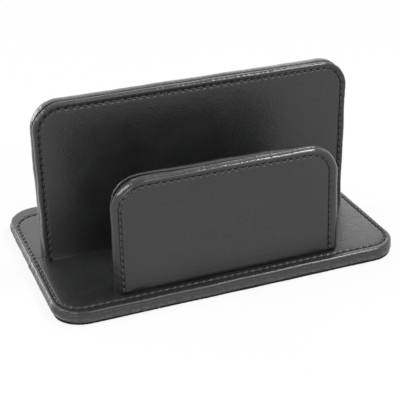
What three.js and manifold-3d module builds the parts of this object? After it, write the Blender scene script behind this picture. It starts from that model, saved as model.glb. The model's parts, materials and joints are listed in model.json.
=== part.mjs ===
import * as THREE from 'three';
import { mergeVertices } from 'three/addons/utils/BufferGeometryUtils.js';
import Module from 'manifold-3d';

// A desk letter holder: a tall and a low panel on a base pad, all boards covered with stitched leatherette.
// Millimetres, +Z up. The origin is on the table under the middle of the base. +X runs along the panels,
// and the low panel stands towards -Y, the front.

// Sheets
const leatherThickness = 1;
const paddingThickness = 0.6;
const liningThickness = 0.8;

// Boards
const baseBoardThickness = 4;
const panelBoardThickness = 6;
const boardSideGap = 0.3; // from a board's edge to the leather round it

// Base pad
const baseWidth = 180;
const baseDepth = 115;
const baseCornerRadius = 16;
const baseRimRadius = 1.4; // rounding of the leather along the top and the bottom edge
const turnInWidth = 12; // leather folded under the board, from the base's side inwards
const liningInset = 1.3; // from the base's side to the lining's edge
const coverSeamGap = 0.3; // between the front and the rear cover of the base

// Tall rear panel
const rearPanelWidth = 166;
const rearPanelHeight = 82; // above the base
const rearPanelCornerRadius = 14;
const rearPanelSetback = 53.6; // from the base's front edge to the panel's front face
const rearPanelScrewSpacing = 55;

// Low front panel
const frontPanelWidth = 114.6;
const frontPanelHeight = 57.5; // above the base
const frontPanelCornerRadius = 15;
const frontPanelSetback = 8; // from the base's front edge to the panel's front face
const frontPanelShift = -0.9; // the panel stands a little left of the middle
const frontPanelScrewSpacing = 70;

// Edges of both panels
const panelRimRadius = 1.4; // rounding of the leather along the face
const panelEdgeGroove = 0.6; // where the front and the back cover meet at mid thickness

// Stitching, with each row's distance from the edges of its piece
const stitchPitch = 3.7;
const stitchWidth = 0.8; // in the middle of a stitch
const stitchHeight = 0.55;
const threadHoleWidth = 0.4; // where the thread dips into a needle hole
const threadHoleHeight = 0.15;
const threadEndGap = 0.3; // from the end of a panel's row to the base
const stitchGrooveWidth = 1.4;
const stitchGrooveDepth = 0.3;
const baseRowSideMargin = 2.7;
const baseRowFrontMargin = 4.4;
const baseRowRearMargin = 9.5;
const baseRowCornerRadius = 12;
const rearPanelRowMargin = 2.9;
const frontPanelRowTopMargin = 3;
const frontPanelRowLeftMargin = 1.9;
const frontPanelRowRightMargin = 4.1;

// Countersunk wood screws, driven from below
const screwLength = 25;
const screwHeadRadius = 3.2;
const screwHeadDepth = 2;
const screwShankRadius = 1.2;
const screwThreadRadius = 1.75;
const screwThreadPitch = 2.2;
const screwTipLength = 3;
const screwGap = 0.3; // between a screw and the hole round it
const crossRecessLength = 3.2;
const crossRecessWidth = 0.8;
const crossRecessDepth = 1.2;

// Heights in the base, from the table up
const turnInTop = liningThickness + leatherThickness;
const baseBoardTop = turnInTop + baseBoardThickness;
const basePaddingTop = baseBoardTop + paddingThickness;
const baseTop = basePaddingTop + leatherThickness;

// Panels, from front to back
const baseFront = -baseDepth / 2;
const panelSkin = leatherThickness + paddingThickness;
const panelThickness = panelBoardThickness + 2 * panelSkin;

const cornerSteps = 5; // an arc is drawn with twice as many segments
const rimSteps = 3;
const turnedSides = 10;
const overrun = 5; // how far a cutting solid passes the face that it cuts

const wasm = await Module();
wasm.setup();

const leather = new THREE.MeshStandardMaterial({ color: 0x26282a, roughness: 0.48, metalness: 0 });
const thread = new THREE.MeshStandardMaterial({ color: 0x131414, roughness: 0.6, metalness: 0 });
const felt = new THREE.MeshStandardMaterial({ color: 0x23241f, roughness: 0.95, metalness: 0 });
const foam = new THREE.MeshStandardMaterial({ color: 0x4a4a48, roughness: 0.9, metalness: 0 });
const fibreboard = new THREE.MeshStandardMaterial({ color: 0xa3835a, roughness: 0.85, metalness: 0 });
const zinc = new THREE.MeshStandardMaterial({ color: 0xc2beb2, roughness: 0.35, metalness: 1 });

// Solids and meshes

function solidOf(geometry) {
  const bare = geometry.clone();
  bare.deleteAttribute('normal');
  bare.deleteAttribute('uv');
  const merged = mergeVertices(bare, 1e-4);
  return new wasm.Manifold(new wasm.Mesh({
    numProp: 3,
    vertProperties: merged.attributes.position.array,
    triVerts: merged.index.array,
  }));
}

function meshOf(name, geometry, material) {
  const mesh = new THREE.Mesh(geometry, material);
  mesh.name = name;
  return mesh;
}

function solidMesh(name, solid, material) {
  const { vertProperties, triVerts } = solid.getMesh();
  const geometry = new THREE.BufferGeometry();
  geometry.setAttribute('position', new THREE.BufferAttribute(vertProperties, 3));
  geometry.setIndex(new THREE.BufferAttribute(triVerts, 1));
  geometry.computeVertexNormals();
  return meshOf(name, geometry, material);
}

// Extrudes an outline over a thickness, with both ends rounded by rim.
function extrude(shape, thickness, rim = 0) {
  const geometry = new THREE.ExtrudeGeometry(shape, {
    depth: thickness - 2 * rim,
    curveSegments: cornerSteps,
    bevelEnabled: rim > 0,
    bevelSegments: rimSteps,
    bevelThickness: rim,
    bevelSize: rim,
    bevelOffset: -rim,
  });
  return geometry.translate(0, 0, rim);
}

// A lying plate from one height to another.
function plate(shape, bottom, top, rim) {
  return solidOf(extrude(shape, top - bottom, rim).translate(0, 0, bottom));
}

// A standing plate whose outline is drawn in X and Z, from its front face to its back face.
function uprightPlate(shape, front, back, rim) {
  return solidOf(extrude(shape, back - front, rim).rotateX(Math.PI / 2).translate(0, back, 0));
}

function block(low, high) {
  const size = new THREE.Vector3().subVectors(high, low);
  const centre = new THREE.Vector3().addVectors(low, high).multiplyScalar(0.5);
  return solidOf(new THREE.BoxGeometry(size.x, size.y, size.z).translate(centre.x, centre.y, centre.z));
}

// A block that holds all of the object on one side of a plane across Y or Z.
function halfSpace(axis, from, to) {
  const reach = baseWidth + rearPanelHeight;
  const low = new THREE.Vector3(-reach, -reach, -reach);
  const high = new THREE.Vector3(reach, reach, reach);
  low[axis] = from ?? -reach;
  high[axis] = to ?? reach;
  return block(low, high);
}

// Outlines

// A rectangle with four round corners, closed.
function padShape({ left, right, front, rear, radius }) {
  const shape = new THREE.Shape();
  shape.moveTo(left + radius, front);
  shape.lineTo(right - radius, front);
  shape.absarc(right - radius, front + radius, radius, -Math.PI / 2, 0, false);
  shape.lineTo(right, rear - radius);
  shape.absarc(right - radius, rear - radius, radius, 0, Math.PI / 2, false);
  shape.lineTo(left + radius, rear);
  shape.absarc(left + radius, rear - radius, radius, Math.PI / 2, Math.PI, false);
  shape.lineTo(left, front + radius);
  shape.absarc(left + radius, front + radius, radius, Math.PI, 1.5 * Math.PI, false);
  return shape;
}

// A panel's outline: up its left side, over two round corners and down its right side.
function archShape({ left, right, bottom, top, radius }) {
  const shape = new THREE.Shape();
  shape.moveTo(left, bottom);
  shape.lineTo(left, top - radius);
  shape.absarc(left + radius, top - radius, radius, Math.PI, Math.PI / 2, true);
  shape.lineTo(right - radius, top);
  shape.absarc(right - radius, top - radius, radius, Math.PI / 2, 0, true);
  shape.lineTo(right, bottom);
  return shape;
}

// The base's outline, drawn in by a distance.
function baseShape(inset) {
  return padShape({
    left: -baseWidth / 2 + inset,
    right: baseWidth / 2 - inset,
    front: -baseDepth / 2 + inset,
    rear: baseDepth / 2 - inset,
    radius: Math.max(baseCornerRadius - inset, leatherThickness),
  });
}

// A panel's outline, drawn in by a distance from its sides and top.
function panelShape(panel, inset, bottom) {
  return archShape({
    left: panel.left + inset,
    right: panel.right - inset,
    bottom,
    top: panel.top - inset,
    radius: panel.radius - inset,
  });
}

// The line of a row of stitches, moved outwards by a distance.
function baseRowShape(outwards) {
  return padShape({
    left: -baseWidth / 2 + baseRowSideMargin - outwards,
    right: baseWidth / 2 - baseRowSideMargin + outwards,
    front: -baseDepth / 2 + baseRowFrontMargin - outwards,
    rear: baseDepth / 2 - baseRowRearMargin + outwards,
    radius: baseRowCornerRadius + outwards,
  });
}

function panelRowShape(panel, outwards, bottom) {
  return archShape({
    left: panel.left + panel.row.left - outwards,
    right: panel.right - panel.row.right + outwards,
    bottom,
    top: panel.top - panel.row.top + outwards,
    radius: panel.radius - panel.row.top + outwards,
  });
}

// Stitches

// The thread of a row as one strand on the plane z = 0, with a three-sided section on a flat bottom. It is
// widest and highest in the middle of each stitch and dips at each needle hole.
function strandGeometry(line, isClosed) {
  const stepCount = 2 * Math.round(line.getLength() / stitchPitch);
  const stationCount = isClosed ? stepCount : stepCount + 1;
  const positions = [];
  for (let station = 0; station < stationCount; station += 1) {
    const share = station / stepCount;
    const isHole = station % 2 === 0;
    const point = line.getPoint(share);
    const along = line.getTangent(share);
    const half = (isHole ? threadHoleWidth : stitchWidth) / 2;
    positions.push(point.x - along.y * half, point.y + along.x * half, 0);
    positions.push(point.x + along.y * half, point.y - along.x * half, 0);
    positions.push(point.x, point.y, isHole ? threadHoleHeight : stitchHeight);
  }
  const triangles = isClosed ? [] : [0, 1, 2];
  for (let step = 0; step < stepCount; step += 1) {
    const here = 3 * step;
    const next = 3 * ((step + 1) % stationCount);
    for (let side = 0; side < 3; side += 1) {
      const other = (side + 1) % 3;
      triangles.push(here + other, here + side, next + side);
      triangles.push(here + other, next + side, next + other);
    }
  }
  if (!isClosed) {
    const last = 3 * (stationCount - 1);
    triangles.push(last + 1, last, last + 2);
  }
  const geometry = new THREE.BufferGeometry();
  geometry.setAttribute('position', new THREE.Float32BufferAttribute(positions, 3));
  geometry.setIndex(triangles);
  return geometry;
}

// A row of stitches. toWorld turns the line's plane into the face that is sewn.
function stitchRow(name, line, toWorld, isClosed) {
  const geometry = strandGeometry(line, isClosed).applyMatrix4(toWorld);
  if (toWorld.determinant() < 0) {
    geometry.index.array.reverse(); // a mirrored row would be inside out
  }
  geometry.computeVertexNormals();
  return meshOf(name, geometry, thread);
}

// Screws

// Turns a profile of [radius, height] pairs round the Z axis, from its lowest point up.
function turned(profile) {
  const points = profile.map(([radius, height]) => new THREE.Vector2(radius, height));
  return solidOf(new THREE.LatheGeometry(points, turnedSides).rotateX(Math.PI / 2));
}

function screwSolid() {
  const profile = [[0, 0], [screwHeadRadius, 0], [screwShankRadius, screwHeadDepth]];
  const tipStart = screwLength - screwTipLength;
  const smoothLength = baseTop - turnInTop;
  const ridgeCount = Math.floor((tipStart - smoothLength) / screwThreadPitch);
  for (let ridge = ridgeCount; ridge > 0; ridge -= 1) {
    const start = tipStart - ridge * screwThreadPitch;
    profile.push([screwShankRadius, start]);
    profile.push([screwThreadRadius, start + screwThreadPitch / 2]);
  }
  profile.push([screwShankRadius, tipStart]);
  profile.push([0, screwLength]);
  const halfLength = crossRecessLength / 2;
  const halfWidth = crossRecessWidth / 2;
  const across = block(
    new THREE.Vector3(-halfLength, -halfWidth, -overrun),
    new THREE.Vector3(halfLength, halfWidth, crossRecessDepth),
  );
  const along = block(
    new THREE.Vector3(-halfWidth, -halfLength, -overrun),
    new THREE.Vector3(halfWidth, halfLength, crossRecessDepth),
  );
  return turned(profile).subtract(across).subtract(along);
}

// The room that a screw takes: a countersink, then a straight hole past its tip.
function screwHoleSolid() {
  const holeRadius = screwThreadRadius + screwGap;
  return turned([
    [0, -overrun],
    [screwHeadRadius + screwGap, -overrun],
    [screwHeadRadius + screwGap, 0],
    [holeRadius, screwHeadDepth],
    [holeRadius, screwLength + screwGap],
    [0, screwLength + screwGap + holeRadius],
  ]);
}

// Moves a screw or its hole to its place under a panel, x from the panel's middle.
function atScrew(panel, x, solid) {
  const middleX = (panel.left + panel.right) / 2;
  const middleY = (panel.front + panel.back) / 2;
  return solid.translate([middleX + x, middleY, turnInTop]);
}

// All screw holes under a panel.
function screwHoles(panel) {
  const hole = screwHoleSolid();
  const holes = Object.values(panel.screws).map((x) => atScrew(panel, x, hole));
  return holes.reduce((all, next) => all.add(next));
}

// The two panels

function panelPlace(width, shift, height, setback) {
  return {
    left: shift - width / 2,
    right: shift + width / 2,
    top: baseTop + height,
    front: baseFront + setback,
    back: baseFront + setback + panelThickness,
  };
}

const rearPanel = {
  name: 'rear_panel',
  ...panelPlace(rearPanelWidth, 0, rearPanelHeight, rearPanelSetback),
  radius: rearPanelCornerRadius,
  row: { left: rearPanelRowMargin, right: rearPanelRowMargin, top: rearPanelRowMargin },
  screws: { left: -rearPanelScrewSpacing, middle: 0, right: rearPanelScrewSpacing },
};

const frontPanel = {
  name: 'front_panel',
  ...panelPlace(frontPanelWidth, frontPanelShift, frontPanelHeight, frontPanelSetback),
  radius: frontPanelCornerRadius,
  row: { left: frontPanelRowLeftMargin, right: frontPanelRowRightMargin, top: frontPanelRowTopMargin },
  screws: { left: -frontPanelScrewSpacing / 2, right: frontPanelScrewSpacing / 2 },
};

const allScrewHoles = screwHoles(rearPanel).add(screwHoles(frontPanel));

// The leather of one face of a panel, folded over the edge to the groove at mid thickness.
function panelCover(panel, isFront) {
  const middle = (panel.front + panel.back) / 2;
  const low = baseTop - overrun;
  const outside = uprightPlate(panelShape(panel, 0, low), panel.front, panel.back, panelRimRadius);
  const inside = uprightPlate(
    panelShape(panel, leatherThickness, low - overrun),
    panel.front + leatherThickness,
    panel.back - leatherThickness,
  );
  const rowWidth = stitchGrooveWidth / 2;
  const face = isFront ? panel.front : panel.back;
  const cutFrom = isFront ? face - overrun : face - stitchGrooveDepth;
  const cutTo = isFront ? face + stitchGrooveDepth : face + overrun;
  const groove = uprightPlate(panelRowShape(panel, rowWidth, low), cutFrom, cutTo)
    .subtract(uprightPlate(panelRowShape(panel, -rowWidth, low - overrun), cutFrom - overrun, cutTo + overrun));
  const half = isFront
    ? halfSpace('y', undefined, middle - panelEdgeGroove / 2)
    : halfSpace('y', middle + panelEdgeGroove / 2, undefined);
  return outside
    .subtract(inside)
    .subtract(groove)
    .intersect(half)
    .intersect(halfSpace('z', baseTop, undefined));
}

// One row on a panel's face. The line is drawn in X and Z, and each stitch stands out of the face.
function panelStitching(panel, isFront) {
  const line = panelRowShape(panel, 0, baseTop + threadEndGap);
  const seat = isFront ? panel.front + stitchGrooveDepth : panel.back - stitchGrooveDepth;
  const side = isFront ? 'front' : 'back';
  const toWorld = new THREE.Matrix4().makeBasis(
    new THREE.Vector3(1, 0, 0),
    new THREE.Vector3(0, 0, 1),
    new THREE.Vector3(0, isFront ? -1 : 1, 0),
  );
  toWorld.setPosition(0, seat, 0);
  return stitchRow(`${panel.name}_${side}_stitching`, line, toWorld, false);
}

function panelScrews(panel) {
  const screw = screwSolid();
  return Object.entries(panel.screws).map(([place, x]) => (
    solidMesh(`${panel.name}_${place}_screw`, atScrew(panel, x, screw), zinc)
  ));
}

function panelPieces(panel) {
  const boardInset = leatherThickness + boardSideGap;
  const outline = panelShape(panel, boardInset, baseTop);
  const board = uprightPlate(outline, panel.front + panelSkin, panel.back - panelSkin);
  const frontPadding = uprightPlate(outline, panel.front + leatherThickness, panel.front + panelSkin);
  const backPadding = uprightPlate(outline, panel.back - panelSkin, panel.back - leatherThickness);
  return [
    solidMesh(`${panel.name}_board`, board.subtract(allScrewHoles), fibreboard),
    solidMesh(`${panel.name}_front_padding`, frontPadding, foam),
    solidMesh(`${panel.name}_back_padding`, backPadding, foam),
    solidMesh(`${panel.name}_front_cover`, panelCover(panel, true), leather),
    solidMesh(`${panel.name}_back_cover`, panelCover(panel, false), leather),
    panelStitching(panel, true),
    panelStitching(panel, false),
    ...panelScrews(panel),
  ];
}

// The base

// Felt that covers the underside and fills the step inside the folded leather.
function baseLining() {
  const sheet = plate(baseShape(liningInset), 0, liningThickness);
  const raised = plate(baseShape(turnInWidth + boardSideGap), 0, turnInTop);
  return sheet.add(raised);
}

// Leather over the whole base, before it is parted at the seam under the rear panel.
function baseLeather() {
  const outside = plate(baseShape(0), liningThickness, baseTop, baseRimRadius);
  const boardRoom = plate(baseShape(leatherThickness), turnInTop, basePaddingTop);
  const opening = plate(baseShape(turnInWidth), liningThickness - overrun, baseBoardTop);
  const rowWidth = stitchGrooveWidth / 2;
  const groove = plate(baseRowShape(rowWidth), baseTop - stitchGrooveDepth, baseTop + overrun)
    .subtract(plate(baseRowShape(-rowWidth), baseTop - overrun, baseTop + 2 * overrun));
  return outside.subtract(boardRoom).subtract(opening).subtract(groove).subtract(allScrewHoles);
}

function basePieces() {
  const outline = baseShape(leatherThickness + boardSideGap);
  const board = plate(outline, turnInTop, baseBoardTop).subtract(allScrewHoles);
  const padding = plate(outline, baseBoardTop, basePaddingTop).subtract(allScrewHoles);
  const seam = (rearPanel.front + rearPanel.back) / 2;
  const wholeCover = baseLeather();
  const frontCover = wholeCover.intersect(halfSpace('y', undefined, seam - coverSeamGap / 2));
  const rearCover = wholeCover.intersect(halfSpace('y', seam + coverSeamGap / 2, undefined));
  const rowPlane = new THREE.Matrix4().makeTranslation(0, 0, baseTop - stitchGrooveDepth);
  return [
    solidMesh('base_lining', baseLining(), felt),
    solidMesh('base_board', board, fibreboard),
    solidMesh('base_padding', padding, foam),
    solidMesh('base_front_cover', frontCover, leather),
    solidMesh('base_rear_cover', rearCover, leather),
    stitchRow('base_stitching', baseRowShape(0), rowPlane, true),
  ];
}

const letterHolder = new THREE.Group();
letterHolder.add(...basePieces());
letterHolder.add(...panelPieces(rearPanel));
letterHolder.add(...panelPieces(frontPanel));

export default letterHolder;
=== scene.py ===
import bpy
import json
import math
import numpy as np
from mathutils import Matrix, Vector


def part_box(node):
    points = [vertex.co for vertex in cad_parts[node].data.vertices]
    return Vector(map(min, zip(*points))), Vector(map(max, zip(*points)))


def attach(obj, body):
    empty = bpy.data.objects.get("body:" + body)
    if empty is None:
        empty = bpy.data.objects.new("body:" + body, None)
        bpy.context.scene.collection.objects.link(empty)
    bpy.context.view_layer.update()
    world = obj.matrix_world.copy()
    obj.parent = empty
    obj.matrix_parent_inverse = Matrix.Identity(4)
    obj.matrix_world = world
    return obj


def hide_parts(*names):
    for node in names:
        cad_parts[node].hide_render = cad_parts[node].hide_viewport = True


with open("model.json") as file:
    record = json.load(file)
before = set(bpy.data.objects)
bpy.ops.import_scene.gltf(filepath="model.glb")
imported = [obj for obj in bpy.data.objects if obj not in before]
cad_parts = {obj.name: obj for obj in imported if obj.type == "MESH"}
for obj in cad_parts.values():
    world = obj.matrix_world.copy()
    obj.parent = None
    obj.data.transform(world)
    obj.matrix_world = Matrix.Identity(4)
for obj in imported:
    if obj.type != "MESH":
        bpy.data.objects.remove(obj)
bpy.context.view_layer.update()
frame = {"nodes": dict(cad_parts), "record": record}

# A desk letter holder: a tall and a low panel on a base pad, all covered with stitched black leatherette.
# It stands in the frame of the CAD model. Shapes are worked out in millimetres and made metres at the end.

mm = 0.001
print("frame loaded:", len(frame["nodes"]), "nodes")


# Nodes and colours

def addNode(tree, kind, inputs=None, **properties):
    # inputs holds a value, or another node's output socket, for each input by name or number
    node = tree.nodes.new(kind)
    for name, value in properties.items():
        setattr(node, name, value)
    for name, value in (inputs or {}).items():
        if isinstance(value, bpy.types.NodeSocket):
            tree.links.new(value, node.inputs[name])
        else:
            node.inputs[name].default_value = value
    return node


def fromHex(code):
    # sRGB hex to linear red, green, blue and 1
    channels = [int(code[i:i + 2], 16) / 255 for i in (1, 3, 5)]
    return [c / 12.92 if c <= 0.04045 else ((c + 0.055) / 1.055) ** 2.4 for c in channels] + [1]


def newMaterial(name):
    material = bpy.data.materials.new(name)
    material.use_nodes = True
    tree = material.node_tree
    tree.nodes.clear()
    return material, tree


def blendColours(tree, share, stops):
    # A ramp from a 0 to 1 value to hex colours, each with its place
    ramp = addNode(tree, "ShaderNodeValToRGB", {"Fac": share})
    elements = ramp.color_ramp.elements
    while len(elements) < len(stops):
        elements.new(0.5)
    for element, (place, code) in zip(elements, stops):
        element.position = place
        element.color = fromHex(code)
    return ramp.outputs["Color"]


def remap(tree, value, low, high, toLow, toHigh):
    spread = addNode(tree, "ShaderNodeMapRange",
                     {"Value": value, "From Min": low, "From Max": high, "To Min": toLow, "To Max": toHigh})
    return spread.outputs["Result"]


def noise(tree, place, size, inputs):
    # The outputs of a noise whose features are about size mm across
    return addNode(tree, "ShaderNodeTexNoise", {"Vector": place, "Scale": 1 / (size * mm), **inputs}).outputs


def relief(tree, height, depth, inputs=None, **properties):
    # The normal of a bump that is depth mm high where height is 1
    inputs = {"Height": height, "Distance": depth * mm, "Strength": 1, **(inputs or {})}
    return addNode(tree, "ShaderNodeBump", inputs, **properties).outputs["Normal"]


def mixColours(tree, share, first, second):
    return addNode(tree, "ShaderNodeMix", {0: share, 6: first, 7: second}, data_type="RGBA").outputs[2]


# Leatherette: black polyurethane film on cloth, embossed with a fine pebble grain between hot rollers.
# It gives the eye a near-black, satin skin that picks up the white surroundings at low angles.
leatherLook = {
    # The last colour is a painted reflection low on the base's wall, in specks that also stand for wear
    "dark": "#121313", "light": "#222323", "worn": "#202121", "scuffAndSheenColour": "#454646",
    "grain": 0.85,         # mm across one pebble of the emboss
    "grainDepth": 0.07,    # mm
    # Painted shade: the grain's valleys, at the pebbles' edges, are made darker in colour
    "warp": (2.5, 0.4),    # size and strength of what bends the pebbles, in grains
    "paintedValleyShade": -0.45,       # how much darker a pebble is at its edge
    "pore": 0.3,           # mm
    "poreDepth": 0.008,
    "ripple": 6,           # mm, slack in the film over the foam
    "rippleDepth": 0.1,
    "patch": 28,           # mm, handling marks
    "wornGrain": 0.15, "wornRipple": 0.5,      # relief that is left where the film is rubbed
    "roughness": (0.38, 0.5), "wornRoughness": 0.14,
    "coat": 0.28, "coatRoughness": 0.2,
}


def leatherMaterial():
    # Ripples carry the pebbles and those the pores, and each pebble's edge is painted darker as shade in the
    # grain's valleys; wear flattens and polishes them; scuffs and a painted reflection low on the base's wall
    # are lighter
    look = leatherLook
    material, tree = newMaterial("embossed_leatherette")
    place = addNode(tree, "ShaderNodeTexCoord").outputs["Object"]
    wear, scuffAndSheen = (addNode(tree, "ShaderNodeAttribute", attribute_name=name).outputs["Fac"]
                   for name in ("wear", "scuffAndSheen"))
    warpSize, warpShare = look["warp"]
    warp = noise(tree, place, warpSize * look["grain"], {"Detail": 2})["Color"]
    bent = addNode(tree, "ShaderNodeVectorMath",
                   {0: warp, 1: (warpShare * look["grain"] * mm,) * 3, 2: place}, operation="MULTIPLY_ADD")
    pebbles = addNode(tree, "ShaderNodeTexVoronoi",
                      {"Vector": bent.outputs[0], "Scale": 1 / (look["grain"] * mm), "Smoothness": 0.35},
                      feature="SMOOTH_F1").outputs["Distance"]
    pores = noise(tree, place, look["pore"], {"Detail": 3, "Roughness": 0.6})["Fac"]
    ripple = noise(tree, place, look["ripple"], {"Detail": 3})["Fac"]
    patches = noise(tree, place, look["patch"], {"Detail": 6, "Roughness": 0.7})["Fac"]
    slack, emboss = (remap(tree, wear, 0, 1, 1, look[key]) for key in ("wornRipple", "wornGrain"))
    normal = relief(tree, ripple, look["rippleDepth"], {"Strength": slack})
    normal = relief(tree, pebbles, look["grainDepth"], {"Strength": emboss, "Normal": normal}, invert=True)
    normal = relief(tree, pores, look["poreDepth"], {"Normal": normal})
    # Painted shade: each pebble is darker towards its edge, where the grain's valleys lie
    shade = addNode(tree, "ShaderNodeMath", {0: pebbles, 1: look["paintedValleyShade"], 2: patches},
                    operation="MULTIPLY_ADD")
    mottle = blendColours(tree, shade.outputs[0], [(0.1, look["dark"]), (0.55, look["light"])])
    rubbed = mixColours(tree, wear, mottle, fromHex(look["worn"]))
    satin = remap(tree, patches, 0.3, 0.7, *look["roughness"])
    gloss = addNode(tree, "ShaderNodeMix", {0: wear, 2: satin, 3: look["wornRoughness"]}, data_type="FLOAT")
    # Painted reflection: the base's wall turns lighter towards its foot, in specks that also stand for wear
    skin = addNode(tree, "ShaderNodeBsdfPrincipled", {
        "Base Color": mixColours(tree, scuffAndSheen, rubbed, fromHex(look["scuffAndSheenColour"])),
        "Roughness": gloss.outputs[0], "IOR": 1.52,
        "Coat Weight": look["coat"], "Coat Roughness": look["coatRoughness"],
        "Normal": normal, "Coat Normal": normal})
    addNode(tree, "ShaderNodeOutputMaterial", {"Surface": skin.outputs[0]})
    return material


# The other materials have one pattern, size mm across, for both their colour and their relief, depth mm high.
# The colour goes from dark to light between the two values of ramp. Flecks are spots in the middle of coarser
# cells: their colour, the cells' size in mm, and where a spot starts and stops fading.
fibres = ("ShaderNodeTexNoise", "Fac")
cells = ("ShaderNodeTexVoronoi", "Distance")
looks = {
    # Polyester, three plies twisted and bonded: dull black with a faint shine on the crowns of the plies
    "thread": {"name": "bonded_polyester_thread", "dark": "#141515", "light": "#2c2d2d", "ramp": (0.3, 0.75),
               "pattern": fibres, "size": 0.12, "detail": {"Detail": 2}, "depth": 0.02,
               "skin": {"Roughness": 0.4, "IOR": 1.55}},
    # Needled felt, dyed dark olive: matt, with short lighter hairs and a little lint
    "lining": {"name": "needled_felt", "dark": "#191a14", "light": "#32332a", "ramp": (0.3, 0.75),
               "pattern": fibres, "size": 0.35, "detail": {"Detail": 5, "Roughness": 0.7, "Distortion": 1.5},
               "depth": 0.12, "fleck": ("#77766a", 3.5, 0.12, 0.16),
               "skin": {"Roughness": 0.95, "IOR": 1.4, "Sheen Weight": 0.1, "Sheen Roughness": 0.6}},
    # Open-cell polyether foam: matt grey, pitted with small round cells
    "foam": {"name": "polyether_foam", "dark": "#343433", "light": "#555553", "ramp": (0.1, 0.6),
             "pattern": cells, "size": 0.7, "detail": {}, "depth": 0.15,
             "skin": {"Roughness": 0.9, "IOR": 1.45}},
    # Medium density fibreboard, sawn and sanded: tan, fine-grained, with darker flecks of bark
    "fibreboard": {"name": "medium_density_fibreboard", "dark": "#7d6342", "light": "#b4946a",
                   "ramp": (0.3, 0.7), "pattern": fibres, "size": 1.2,
                   "detail": {"Detail": 6, "Roughness": 0.75}, "depth": 0.05,
                   "fleck": ("#5a452d", 4, 0.08, 0.14), "skin": {"Roughness": 0.82, "IOR": 1.5}},
    # Steel wood screw, cold-rolled and bright zinc plated: a cool metal with faint turning marks
    "zinc": {"name": "bright_zinc_plate", "dark": "#9c9a92", "light": "#cfccc2", "ramp": (0.3, 0.7),
             "pattern": fibres, "size": 0.25, "detail": {"Detail": 3}, "depth": 0.006,
             "stretch": (0.15, 0.15, 1), "roughness": (0.26, 0.4), "skin": {"Metallic": 1}},
}


def plainMaterial(look):
    material, tree = newMaterial(look["name"])
    place = addNode(tree, "ShaderNodeTexCoord").outputs["Object"]
    if "stretch" in look:
        place = addNode(tree, "ShaderNodeMapping", {"Vector": place, "Scale": look["stretch"]}).outputs[0]
    kind, output = look["pattern"]
    texture = addNode(tree, kind, {"Vector": place, "Scale": 1 / (look["size"] * mm), **look["detail"]})
    pattern = texture.outputs[output]
    colour = blendColours(tree, pattern, list(zip(look["ramp"], (look["dark"], look["light"]))))
    if "fleck" in look:
        code, size, inner, outer = look["fleck"]
        spots = addNode(tree, "ShaderNodeTexVoronoi", {"Vector": place, "Scale": 1 / (size * mm)})
        share = remap(tree, spots.outputs["Distance"], inner, outer, 1, 0)
        colour = mixColours(tree, share, colour, fromHex(code))
    inputs = {"Base Color": colour, "Normal": relief(tree, pattern, look["depth"]), **look["skin"]}
    if "roughness" in look:
        inputs["Roughness"] = remap(tree, pattern, *look["ramp"], *look["roughness"])
    skin = addNode(tree, "ShaderNodeBsdfPrincipled", inputs)
    addNode(tree, "ShaderNodeOutputMaterial", {"Surface": skin.outputs[0]})
    return material


materials = {"leatherette": leatherMaterial(), **{slot: plainMaterial(look) for slot, look in looks.items()}}
print("materials made:", len(materials))


# Meshes from grids of points

def gridFaces(rows, columns, aroundRows=False, aroundColumns=False):
    # Corner numbers of the quads of a grid that is stored row by row
    r = np.arange(rows if aroundRows else rows - 1)[:, None]
    c = np.arange(columns if aroundColumns else columns - 1)[None, :]
    nextRow, nextColumn = (r + 1) % rows, (c + 1) % columns
    corners = [r * columns + c, r * columns + nextColumn,
               nextRow * columns + nextColumn, nextRow * columns + c]
    return np.stack([np.broadcast_to(k, (len(r), c.shape[1])) for k in corners], -1).reshape(-1, 4)


sharpAngle = 48            # degrees between two faces, past which their shared edge isn't smoothed


def makePiece(name, points, slot, node, aroundRows=False, aroundColumns=False, attributes=None):
    # A closed mesh from a grid of points in mm; where the grid isn't joined round, a face closes each end
    rows, columns = points.shape[:2]
    quads = gridFaces(rows, columns, aroundRows, aroundColumns)
    firstColumn, firstRow = np.arange(rows) * columns, np.arange(columns)
    caps = []
    if not aroundColumns:
        caps += [firstColumn, (firstColumn + columns - 1)[::-1]]
    if not aroundRows:
        caps += [firstRow[::-1], (rows - 1) * columns + firstRow]
    corners = np.concatenate([quads.ravel()] + caps).astype(np.int32)
    sizes = np.array([4] * len(quads) + [len(cap) for cap in caps])
    mesh = bpy.data.meshes.new(name)
    mesh.vertices.add(rows * columns)
    mesh.vertices.foreach_set("co", (points * mm).astype(np.float32).ravel())
    mesh.loops.add(len(corners))
    mesh.loops.foreach_set("vertex_index", corners)
    mesh.polygons.add(len(sizes))
    mesh.polygons.foreach_set("loop_start", np.concatenate([[0], np.cumsum(sizes)[:-1]]).astype(np.int32))
    mesh.update(calc_edges=True)
    mesh.validate()
    mesh.shade_smooth()
    mesh.set_sharp_from_angle(angle=math.radians(sharpAngle))
    for key, values in (attributes or {}).items():
        attribute = mesh.attributes.new(key, "FLOAT", "POINT")
        attribute.data.foreach_set("value", values.astype(np.float32).ravel())
    piece = bpy.data.objects.new(name, mesh)
    bpy.context.scene.collection.objects.link(piece)
    mesh.materials.append(materials[slot])
    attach(piece, "root")
    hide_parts(node)
    return piece


def nodeBox(node, axes=((1, 0, 0), (0, 1, 0), (0, 0, 1))):
    # Lowest and highest corner of a CAD node along the axes, in mm
    corners = np.array([list(c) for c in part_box(node)]) / mm @ np.array(axes, float).T
    return corners.min(0), corners.max(0)


def waves(x, y, length, seed):
    # Sum of nine sine waves in random directions, from about -1 to 1; each is length over 0.6 to 1.7 long
    draw = np.random.default_rng(seed)
    total = 0
    for turn, phase, stretch in zip(draw.uniform(0, 2 * np.pi, 9), draw.uniform(0, 2 * np.pi, 9),
                                    draw.uniform(0.6, 1.7, 9)):
        total = total + np.sin(2 * np.pi * stretch * (x * np.cos(turn) + y * np.sin(turn)) / length + phase)
    return total / 3


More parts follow.
